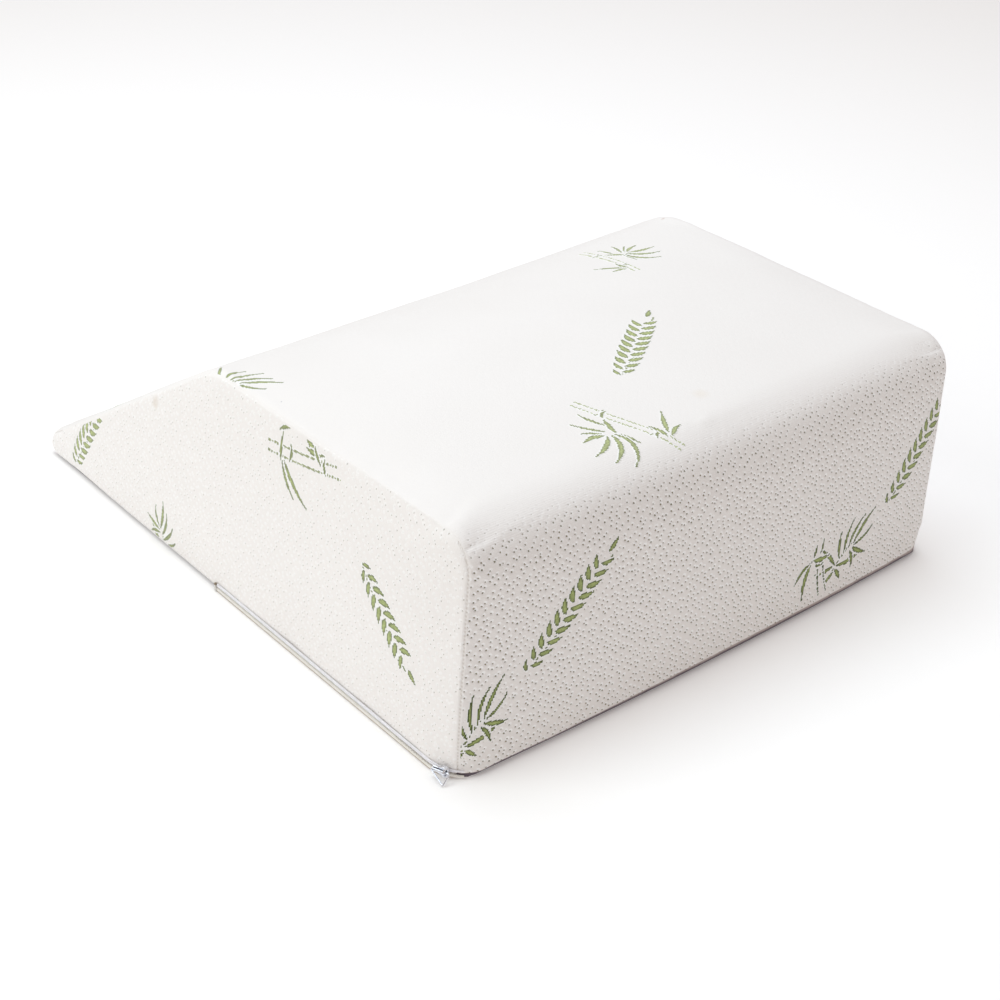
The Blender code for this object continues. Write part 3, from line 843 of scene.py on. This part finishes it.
def vector_maths(tree, operation, *values):
    return add_node(tree, "VectorMath", dict(enumerate(values)), operation=operation)


def between(tree, value, low, high):
    """0 where the value is at low and 1 where it is at high, with a soft step between them."""
    inputs = {"Value": value, "From Min": low, "From Max": high}
    return add_node(tree, "MapRange", inputs, interpolation_type="SMOOTHSTEP").outputs["Result"]


def mixed(tree, share, first, second, blend="MIX"):
    made = add_node(tree, "Mix", {0: share, 6: first, 7: second}, data_type="RGBA", blend_type=blend)
    return made.outputs[2]


KNIT_WHITE = (0.872, 0.850, 0.838, 1)
DOT_PITCH = 0.0043
DOT_SLANT = math.radians(40)
DOT_LENGTHEN = 0.72
DOT_SCATTER = 0.62
DOT_WANDER = 0.0007
DOT_WANDER_SCALE = 110
DOT_COLOURS = ((0.110, 0.105, 0.035, 1), (0.215, 0.170, 0.085, 1))
DOT_EDGE = (0.186, 0.083)
DOT_PICKED = (0.50, 0.60)
# A painted highlight: a white spot drawn beside each dot, standing in for light on the puffed knit.
HIGHLIGHT_OFF = (-0.00075, 0.00055, 0)
HIGHLIGHT_EDGE = (0.36, 0.17)
HIGHLIGHT = (1.0, 1.0, 1.0, 1)
RIB_PITCH = 0.0017
FIBRE_SCALE = 1400
TONE_SCALE = 9
SEAM_REACH = 0.006
SEAM_LINE = (0.00085, 0.00030)
SEAM_STITCH = 0.0032
SEAM_TONE = (0.42, 0.36, 0.30, 1)
# The dark line and darker band along the cover's foot: partly the seam's binding, partly painted contact shade where
# the cover turns under to the floor.
FOOT_LINE_AND_SHADE = (0.115, 0.090, 0.115, 1)
FOOT_BAND_AND_SHADE = (0.44, 0.37, 0.35, 1)
FOOT_REACH = 0.012
FOOT_LINE_AND_SHADE_WIDTHS = (0.0026, 0.0036)
FOOT_BAND_AND_SHADE_WIDTHS = (0.0028, 0.0064)
SIDE_FOOT_SHARE = 0.5
BUMP = {"dimple": 0.00042, "rib": 0.00003, "fibre": 0.00006, "puff": 0.00024, "seam": 0.00014}
STAINS = (
    {"panel": "near", "at": (-91, 134), "radius": 9.0, "colour": (0.62, 0.52, 0.40, 1), "share": 0.35},
    {"panel": "near", "at": (245, 139), "radius": 0.9, "colour": (0.10, 0.12, 0.20, 1), "share": 0.8},
    {"panel": "wrap", "at": (415, -237), "radius": 0.9, "colour": (0.15, 0.16, 0.25, 1), "share": 0.8},
    {"panel": "wrap", "at": (338, 237), "radius": 3.0, "colour": (0.45, 0.25, 0.18, 1), "share": 0.4},
    {"panel": "wrap", "at": (600, 15), "radius": 11.0, "colour": (0.80, 0.70, 0.58, 1), "share": 0.25},
)


def dot_cells(tree, cloth):
    """Cells of the tucked dots on slanted cloth coordinates: the distance to each one's middle, and its chance."""
    turned_cloth = add_node(tree, "Mapping", {"Vector": cloth, "Rotation": (0, 0, DOT_SLANT)}).outputs[0]
    drawn = vector_maths(tree, "MULTIPLY", turned_cloth, (1, DOT_LENGTHEN, 1)).outputs[0]
    inputs = {"Vector": drawn, "Scale": 1 / DOT_PITCH, "Randomness": DOT_SCATTER}
    cells = add_node(tree, "TexVoronoi", inputs, voronoi_dimensions="2D")
    chance = add_node(tree, "SeparateColor", {"Color": cells.outputs["Color"]}).outputs
    return cells.outputs["Distance"], chance


def knit_material():
    """The white knit: puffed between small slanted dots of coloured yarn, which show most on the back. The dots are
    painted light and shade: drawn strong on the shaded back and faint on the brightly lit top, and each has a painted
    highlight beside it.
    """
    made = plain_material("knit", KNIT_WHITE[:3], 0.88)
    tree = made.node_tree
    shader = tree.nodes["Principled BSDF"]
    cloth = add_node(tree, "UVMap", uv_map="cloth").outputs[0]
    paint = add_node(tree, "Attribute", attribute_name="paint")
    channels = add_node(tree, "SeparateColor", {"Color": paint.outputs["Color"]}).outputs
    dot_share_by_light, plain_share, from_seam, from_foot = channels[0], channels[1], channels[2], paint.outputs["Alpha"]
    uneven = add_node(tree, "TexNoise", {"Vector": cloth, "Scale": DOT_WANDER_SCALE}, noise_dimensions="2D")
    off = vector_maths(tree, "SCALE", uneven.outputs["Color"])
    off.inputs["Scale"].default_value = 2 * DOT_WANDER
    wandering = vector_maths(tree, "ADD", cloth, off.outputs[0]).outputs[0]
    away, chance = dot_cells(tree, wandering)
    lit_away, _ = dot_cells(tree, vector_maths(tree, "SUBTRACT", wandering, HIGHLIGHT_OFF).outputs[0])
    open_knit = maths(tree, "SUBTRACT", 1.0, plain_share)
    # Painted light and shade: where the panel's dot share is low, on the lit faces, the dots are drawn smaller, fewer
    # and fainter.
    smaller = maths(tree, "SUBTRACT", 1.75, maths(tree, "MULTIPLY", dot_share_by_light, 0.70))
    sized = maths(tree, "MULTIPLY", away, maths(tree, "MULTIPLY", smaller, maths(tree, "ADD", maths(tree, "MULTIPLY", chance[0], 0.4), 0.8)))
    shown = maths(tree, "MULTIPLY", dot_share_by_light, open_knit)
    picked = maths(tree, "MAXIMUM", between(tree, chance[2], *DOT_PICKED), between(tree, dot_share_by_light, 0.50, 0.85))
    dot = maths(tree, "MULTIPLY", maths(tree, "MULTIPLY", between(tree, sized, *DOT_EDGE), shown), picked)
    # Painted highlight beside each dot.
    lit = maths(tree, "MULTIPLY", between(tree, lit_away, *HIGHLIGHT_EDGE), shown)
    tone = add_node(tree, "TexNoise", {"Vector": cloth, "Scale": TONE_SCALE}, noise_dimensions="2D")
    worn = mixed(tree, tone.outputs[0], (0.985, 0.98, 0.97, 1), (1.015, 1.015, 1.01, 1))
    colour = mixed(tree, 1.0, KNIT_WHITE, worn, "MULTIPLY")
    colour = mixed(tree, lit, colour, HIGHLIGHT)
    colour = mixed(tree, dot, colour, mixed(tree, chance[1], *DOT_COLOURS))
    for stain in STAINS:
        middle = np.array(stain["at"]) * MM + PANEL_SHEETS[stain["panel"]]["at"]
        distance = vector_maths(tree, "DISTANCE", cloth, (*middle, 0)).outputs["Value"]
        ragged = maths(tree, "MULTIPLY", uneven.outputs[0], 0.3 * stain["radius"] * MM)
        edge = maths(tree, "ADD", distance, ragged)
        spot = between(tree, edge, stain["radius"] * MM, 0.3 * stain["radius"] * MM)
        colour = mixed(tree, maths(tree, "MULTIPLY", spot, stain["share"]), colour, stain["colour"])
    split = add_node(tree, "SeparateXYZ", {0: cloth}).outputs
    along = maths(tree, "MULTIPLY", maths(tree, "ADD", split[0], split[1]), 2 * math.pi / SEAM_STITCH)
    stitched = maths(tree, "ADD", maths(tree, "MULTIPLY", maths(tree, "SINE", along), 0.35), 0.65)
    seam = between(tree, from_seam, *(reach / SEAM_REACH for reach in SEAM_LINE))
    colour = mixed(tree, maths(tree, "MULTIPLY", maths(tree, "MULTIPLY", seam, stitched), 0.42), colour, SEAM_TONE)
    # The foot's binding line and band, partly painted contact shade.
    foot = add_node(tree, "Attribute", attribute_name="foot")
    widths = add_node(tree, "SeparateColor", {"Color": foot.outputs["Color"]}).outputs
    for width, tone in ((widths[1], FOOT_BAND_AND_SHADE), (widths[0], FOOT_LINE_AND_SHADE)):
        share = maths(tree, "DIVIDE", from_foot, width)
        colour = mixed(tree, between(tree, share, 1.1, 0.8), colour, tone)
    tree.links.new(colour, shader.inputs["Base Color"])
    fibre = add_node(tree, "TexNoise", {"Vector": cloth, "Scale": FIBRE_SCALE, "Detail": 3}, noise_dimensions="2D")
    rib = maths(tree, "SINE", maths(tree, "MULTIPLY", split[0], 2 * math.pi / RIB_PITCH))
    tucked = maths(tree, "ADD", maths(tree, "MULTIPLY", shown, 0.85), 0.12)
    dimple = maths(tree, "MULTIPLY", between(tree, sized, 0.36, 0.05), tucked)
    puffed = maths(tree, "MULTIPLY", between(tree, away, 0.0, 0.6), tucked)
    height = maths(tree, "MULTIPLY", dimple, -BUMP["dimple"])
    height = maths(tree, "ADD", height, maths(tree, "MULTIPLY", puffed, BUMP["puff"]))
    height = maths(tree, "ADD", height, maths(tree, "MULTIPLY", rib, BUMP["rib"]))
    height = maths(tree, "ADD", height, maths(tree, "MULTIPLY", fibre.outputs[0], BUMP["fibre"]))
    height = maths(tree, "SUBTRACT", height, maths(tree, "MULTIPLY", seam, BUMP["seam"]))
    bump = add_node(tree, "Bump", {"Height": height, "Distance": 1.0, "Strength": 1.0})
    tree.links.new(bump.outputs[0], shader.inputs["Normal"])
    shader.inputs["Sheen Weight"].default_value = 0.12
    shader.inputs["Sheen Roughness"].default_value = 0.5
    return made


def yarn_material():
    """The coloured stitches of the sprigs, each with its own shade and a small rounded ridge."""
    made = plain_material("sprig_yarn", YARN_LIGHT, 0.8)
    tree = made.node_tree
    shader = tree.nodes["Principled BSDF"]
    cloth = add_node(tree, "UVMap", uv_map="cloth").outputs[0]
    yarn = add_node(tree, "Attribute", attribute_name="yarn").outputs["Color"]
    fibre = add_node(tree, "TexNoise", {"Vector": cloth, "Scale": FIBRE_SCALE, "Detail": 2}, noise_dimensions="2D")
    shaded = mixed(tree, fibre.outputs[0], (0.86, 0.86, 0.86, 1), (1.1, 1.1, 1.1, 1))
    tree.links.new(mixed(tree, 1.0, yarn, shaded, "MULTIPLY"), shader.inputs["Base Color"])
    split = add_node(tree, "SeparateXYZ", {0: cloth}).outputs
    rows = maths(tree, "SINE", maths(tree, "MULTIPLY", split[0], 2 * math.pi / STITCH))
    columns = maths(tree, "SINE", maths(tree, "MULTIPLY", split[1], 2 * math.pi / STITCH))
    height = maths(tree, "MULTIPLY", maths(tree, "ADD", rows, columns), 0.00004)
    bump = add_node(tree, "Bump", {"Height": height, "Distance": 1.0, "Strength": 0.7})
    tree.links.new(bump.outputs[0], shader.inputs["Normal"])
    shader.inputs["Sheen Weight"].default_value = 0.1
    return made


TAPE_WEAVE = (0.0008, 0.0006)
TAPE_BUMP = 0.00008
TAPE_FLOOR_SHADE = (0.50, 0.41, 0.33, 1)
METAL_GRAIN = 900
METAL_HOLLOW = 0.0022
METAL_SHADE = (0.02, 0.02, 0.03, 1)


def tape_material(name, colour, shaded_below=0.0):
    """Woven zip tape: fine ribs both ways, slightly uneven in tone, and painted brownish shade where it meets the
    floor.
    """
    made = plain_material(name, colour, 0.75)
    tree = made.node_tree
    shader = tree.nodes["Principled BSDF"]
    place = add_node(tree, "TexCoord").outputs["Object"]
    split = add_node(tree, "SeparateXYZ", {0: place}).outputs
    across, up = (maths(tree, "SINE", maths(tree, "MULTIPLY", split[axis], 2 * math.pi / pitch))
                  for axis, pitch in zip((0, 2), TAPE_WEAVE, strict=True))
    weave = maths(tree, "MULTIPLY", across, up)
    tone = add_node(tree, "TexNoise", {"Vector": place, "Scale": 120, "Detail": 2}).outputs[0]
    shade = maths(tree, "ADD", maths(tree, "MULTIPLY", weave, 0.25), tone)
    darker = tuple(0.90 * c for c in colour)
    woven = mixed(tree, shade, (*darker, 1), (*colour, 1))
    # Painted contact shade: brownish below a given height, where the tape meets the floor.
    floor_shade = between(tree, split[2], shaded_below + 0.0004, shaded_below)
    tree.links.new(mixed(tree, floor_shade, woven, TAPE_FLOOR_SHADE), shader.inputs["Base Color"])
    height = maths(tree, "MULTIPLY", weave, TAPE_BUMP)
    tree.links.new(add_node(tree, "Bump", {"Height": height, "Distance": 1.0}).outputs[0], shader.inputs["Normal"])
    return made


def metal_material():
    """Plated zip metal: bright, with a fine brushed grain and slightly uneven gloss, and painted dark shade in its
    hollows.
    """
    made = plain_material("zip_metal", (0.74, 0.76, 0.82), 0.3, metallic=1.0)
    tree = made.node_tree
    shader = tree.nodes["Principled BSDF"]
    place = add_node(tree, "TexCoord").outputs["Object"]
    drawn = vector_maths(tree, "MULTIPLY", place, (0.15, 0.15, 1)).outputs[0]
    grain = add_node(tree, "TexNoise", {"Vector": drawn, "Scale": METAL_GRAIN * 10, "Detail": 3}).outputs[0]
    cloudy = add_node(tree, "TexNoise", {"Vector": place, "Scale": METAL_GRAIN}).outputs[0]
    rough = maths(tree, "ADD", maths(tree, "MULTIPLY", cloudy, 0.25), 0.16)
    tree.links.new(rough, shader.inputs["Roughness"])
    bright = mixed(tree, cloudy, (0.66, 0.68, 0.74, 1), (0.90, 0.92, 0.97, 1))
    # Painted shade: the metal's colour goes dark where ambient occlusion finds a hollow.
    hollow = add_node(tree, "AmbientOcclusion", {"Distance": METAL_HOLLOW}, samples=8).outputs["AO"]
    tree.links.new(mixed(tree, between(tree, hollow, 0.25, 0.62), METAL_SHADE, bright), shader.inputs["Base Color"])
    height = maths(tree, "MULTIPLY", grain, 0.00003)
    tree.links.new(add_node(tree, "Bump", {"Height": height, "Distance": 1.0}).outputs[0], shader.inputs["Normal"])
    return made


STOP_DARK_ABOVE = 0.0062


def stop_material():
    """The stitched bar at the start of the zip: white thread, dark where it meets the cover."""
    made = tape_material("zip_stop_thread", (0.84, 0.83, 0.80))
    tree = made.node_tree
    shader = tree.nodes["Principled BSDF"]
    light = shader.inputs["Base Color"].links[0].from_socket
    up = add_node(tree, "SeparateXYZ", {0: add_node(tree, "TexCoord").outputs["Object"]}).outputs[2]
    dark = between(tree, up, STOP_DARK_ABOVE, STOP_DARK_ABOVE + 0.0006)
    tree.links.new(mixed(tree, dark, light, (0.26, 0.21, 0.15, 1)), shader.inputs["Base Color"])
    return made


def teeth_material():
    """Moulded zip teeth, ivory with a soft gloss and a little grime, uneven in tone."""
    made = plain_material("zip_teeth", (0.80, 0.78, 0.72), 0.38)
    tree = made.node_tree
    shader = tree.nodes["Principled BSDF"]
    place = add_node(tree, "TexCoord").outputs["Object"]
    tone = add_node(tree, "TexNoise", {"Vector": place, "Scale": 700, "Detail": 2}).outputs[0]
    tree.links.new(mixed(tree, tone, (0.36, 0.33, 0.29, 1), (0.84, 0.82, 0.78, 1)), shader.inputs["Base Color"])
    return made


TOOTH_PITCH = 0.0016
TOOTH = {"along": 0.0011, "out": 0.0014, "up": 0.0015}
TOOTH_SHIFT = 0.0003
TOOTH_NOSE = 0.65


def zip_teeth(finish):
    """Interlocking teeth along the closed zip, each a small block with a narrower nose, shown in place of the coil.
    """
    path = places_of(bpy.data.objects["zip_coil"].data)
    low, high = path.min(0), path.max(0)
    line = np.polyfit(path[:, 0], path[:, 1], 3)
    slope = np.polyder(line)
    middle_z = (low[2] + high[2]) / 2
    vertices, faces = [], []
    for number, x in enumerate(np.arange(low[0] + TOOTH_PITCH, high[0] - TOOTH_PITCH, TOOTH_PITCH)):
        way = unit(np.array([1.0, np.polyval(slope, x)]))
        out = np.array([way[1], -way[0]])
        centre = np.array([x, np.polyval(line, x)])
        shift = TOOTH_SHIFT * (-1) ** number
        first = len(vertices)
        for outward, share in ((-0.5, 1.0), (0.15, 1.0), (0.5, TOOTH_NOSE)):
            for along, up in ((-1, -1), (1, -1), (1, 1), (-1, 1)):
                x_y = centre + out * TOOTH["out"] * outward + way * along * share * TOOTH["along"] / 2
                vertices.append((*x_y, middle_z + shift + up * share * TOOTH["up"] / 2))
        faces.append([first + k for k in (0, 1, 2, 3)])
        for ring in (first, first + 4):
            for k in range(4):
                faces.append([ring + k, ring + k + 4, ring + (k + 1) % 4 + 4, ring + (k + 1) % 4])
        faces.append([first + k for k in (11, 10, 9, 8)])
    mesh = bpy.data.meshes.new("zip_teeth")
    mesh.from_pydata(vertices, [], faces)
    mesh.flip_normals()
    teeth = add_piece("zip_teeth", mesh, finish)
    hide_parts("zip_coil")


def dress(node, finish):
    thing = bpy.data.objects[node]
    thing.data.materials.clear()
    thing.data.materials.append(finish)


# How strongly the tucked dots show on each panel, and how soon they fade over the fold: painted light and shade,
# faint on the brightly lit top and slope, strong on the shaded back
DOT_SHARES_BY_LIGHT = {"slope": 0.10, "top": 0.02, "back": 0.92, "base": 0.5, "near": 0.50, "far": 0.50}
PLAIN_REACH = 3
UPRIGHT_SEAM_X = 0.296


def paint_cover(mesh, panels, from_seam):
    """Paints each corner of the cover: how much its dots show (painted light and shade, faint on the lit faces and
    strong on the shaded back), how plain it is, and how far from its seams.
    """
    owner = np.concatenate([np.repeat(name, 4 * (p["numbers"][1:, 1:]).size) for name, p in panels.items()])
    uv = by_corner(panels, "cloth")
    vertices = by_corner(panels, "numbers")
    shares = np.vectorize(DOT_SHARES_BY_LIGHT.get)(owner)
    wrap = (owner == "top") | (owner == "back")
    # Painted light and shade: over the fold the dots fade from the shaded back to the lit top, by which way each
    # corner faces.
    facing = smooth((normals_of(mesh)[vertices][:, 0] - 0.34) / 0.62)
    dots = np.where(wrap, DOT_SHARES_BY_LIGHT["top"] + (DOT_SHARES_BY_LIGHT["back"] - DOT_SHARES_BY_LIGHT["top"]) * facing, shares)
    plain = np.zeros(len(uv))
    for name, sheet in PANEL_SHEETS.items():
        wide = sheet_stitches(name)[1]
        near = wide.astype(float)
        for _ in range(PLAIN_REACH):
            wide = grown(wide)
            near += wide
        near /= PLAIN_REACH + 1
        cells = np.floor((uv - sheet["at"] - sheet["low"]) / STITCH).astype(int)
        inside = ((cells >= 0) & (cells < near.shape)).all(axis=1)
        plain[inside] = np.maximum(plain[inside], near[tuple(cells[inside].T)])
    seam = np.clip(from_seam[vertices] / SEAM_REACH, 0, 1)
    x, y, z = places_of(mesh)[vertices].T
    seam[(x < UPRIGHT_SEAM_X) & (z > FOOT_SEAM_HEIGHT)] = 1
    # How wide the foot's dark line and band reach, which is partly painted contact shade, wider towards the far side
    # and half as wide on the side panels.
    across = np.clip(y / WIDTH + 0.5, 0, 1)
    widths = [low + (high - low) * smooth(across * 1.6) for low, high in (FOOT_LINE_AND_SHADE_WIDTHS, FOOT_BAND_AND_SHADE_WIDTHS)]
    beside = np.where((owner == "near") | (owner == "far"), SIDE_FOOT_SHARE, 1.0)
    widths = [width * beside for width in widths]
    foot = np.clip(by_corner(panels, "from_foot") / FOOT_REACH, 0, 1)
    foot[owner == "top"] = 1
    wide = mesh.color_attributes.new("foot", "FLOAT_COLOR", "CORNER")
    wide.data.foreach_set("color", np.column_stack([np.array(w) / FOOT_REACH for w in (*widths, *widths)]).ravel())
    paint = mesh.color_attributes.new("paint", "FLOAT_COLOR", "CORNER")
    paint.data.foreach_set("color", np.column_stack([dots, plain, seam, foot]).ravel())


# Camera, light and floor

CAMERA_AT = (1.1523, -0.9493, 0.8969)
CAMERA_YAW = 139.251
CAMERA_PITCH = -31.223
CAMERA_ROLL = 1.736
PICTURE_SIDE = 1000
FOCAL_PIXELS = 1971.5


def add_camera():
    yaw, pitch, roll = (math.radians(a) for a in (CAMERA_YAW, CAMERA_PITCH, CAMERA_ROLL))
    ahead = Vector((math.cos(yaw) * math.cos(pitch), math.sin(yaw) * math.cos(pitch), math.sin(pitch)))
    right = ahead.cross(Vector((0, 0, 1))).normalized()
    up = right.cross(ahead)
    across = right * math.cos(roll) + up * math.sin(roll)
    upward = up * math.cos(roll) - right * math.sin(roll)
    camera = bpy.data.objects.new("camera", bpy.data.cameras.new("camera"))
    camera.data.lens = camera.data.sensor_width * FOCAL_PIXELS / PICTURE_SIDE
    camera.matrix_world = Matrix.Translation(CAMERA_AT) @ Matrix((across, upward, -ahead)).transposed().to_4x4()
    bpy.context.scene.collection.objects.link(camera)
    bpy.context.scene.camera = camera


LIGHTS = {
    "key": {"at": (-0.35, -1.7, 1.5), "size": 1.6, "watts": 15.6, "colour": (0.93, 1.0, 0.99)},
    "over": {"at": (-0.3, 0.1, 2.2), "size": 2.2, "watts": 26.8, "colour": (0.875, 1.0, 1.10)},
}
SKY = {"strength": 0.475, "colour": (1.0, 0.882, 0.816)}


def add_light():
    for name, row in LIGHTS.items():
        lamp = bpy.data.lights.new(name, "AREA")
        lamp.shape = "DISK"
        lamp.size = row["size"]
        lamp.energy = row["watts"]
        lamp.color = row["colour"]
        thing = bpy.data.objects.new(name, lamp)
        thing.location = row["at"]
        thing.rotation_euler = (-Vector(row["at"])).to_track_quat("-Z", "Y").to_euler()
        bpy.context.scene.collection.objects.link(thing)
    world = bpy.data.worlds.new("studio")
    world.use_nodes = True
    background = world.node_tree.nodes["Background"]
    background.inputs["Color"].default_value = (*SKY["colour"], 1)
    background.inputs["Strength"].default_value = SKY["strength"]
    bpy.context.scene.world = world
    bpy.context.scene.view_settings.view_transform = "Standard"


FLOOR_SIDE = 12.0
FLOOR_DROP = 0.0003
FLOOR_GLOW = 0.14


def add_floor():
    half = FLOOR_SIDE / 2
    mesh = bpy.data.meshes.new("floor")
    corners = [(-half, -half), (half, -half), (half, half), (-half, half)]
    mesh.from_pydata([(x, y, -FLOOR_DROP) for x, y in corners], [], [(0, 1, 2, 3)])
    finish = plain_material("floor", (0.95, 0.95, 0.95), 0.9)
    shader = finish.node_tree.nodes["Principled BSDF"]
    shader.inputs["Emission Color"].default_value = (1, 1, 1, 1)
    shader.inputs["Emission Strength"].default_value = FLOOR_GLOW
    mesh.materials.append(finish)
    floor = bpy.data.objects.new("floor", mesh)
    bpy.context.scene.collection.objects.link(floor)


add_camera()
add_light()
add_floor()
cover_data, cloth_panels, seam_distance = sewn_cover()
paint_cover(cover_data, cloth_panels, seam_distance)
cover = add_piece("pillow_cover", cover_data, knit_material())
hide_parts("pillow")
dress("zip_tape_upper", tape_material("white_tape", (0.95, 0.95, 1.0)))
dress("zip_tape_lower", tape_material("cream_tape", (0.95, 0.93, 0.87), shaded_below=0.0009))
dress("zip_stop", stop_material())
metal = metal_material()
dress("zip_slider", metal)
dress("zip_pull", metal)
zip_teeth(teeth_material())
yarn = yarn_material()
spread_cloth = ClothMap(cover_data)
for panel_name in PANEL_SHEETS:
    patch = sprig_patch(panel_name, spread_cloth)
    add_piece(patch.name, patch, yarn)
